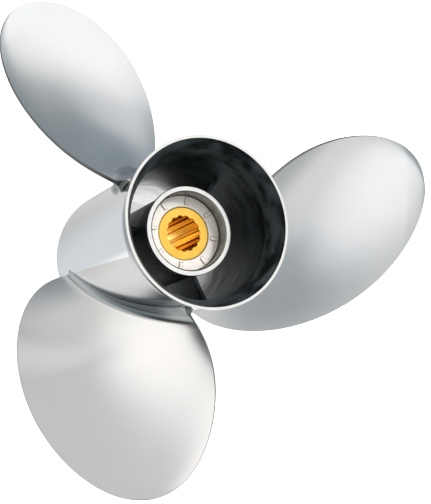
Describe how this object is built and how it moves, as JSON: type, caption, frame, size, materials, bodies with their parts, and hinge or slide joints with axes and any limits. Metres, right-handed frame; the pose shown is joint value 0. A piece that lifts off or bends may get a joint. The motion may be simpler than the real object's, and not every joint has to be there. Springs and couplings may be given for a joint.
{
  "type": "outboard motor propeller",
  "caption": "Right-handed stainless outboard motor propeller with cupped blades, exhaust through the barrel, a ribbed bush and a splined brass sleeve.",
  "frame": {"origin": "on the shaft axis, in the plane of the barrel's forward rim, on which the loose propeller stands", "axes": "+Z along the shaft axis, pointing aft, away from the boat; +Y through the reference line of one blade"},
  "size_m": [0.3402, 0.3282, 0.162],
  "materials": {
    "polished_stainless": "cast stainless steel, ground and polished on the blades and the outside of the barrel, rims machined bright, dark as cast inside",
    "grey_rubber": "moulded pale grey rubber",
    "machined_brass": "turned face, broached splines"
  },
  "bodies": {
    "root": {"propeller_casting": "polished_stainless", "hub_bush": "grey_rubber", "splined_sleeve": "machined_brass"}
  },
  "joints": []
}
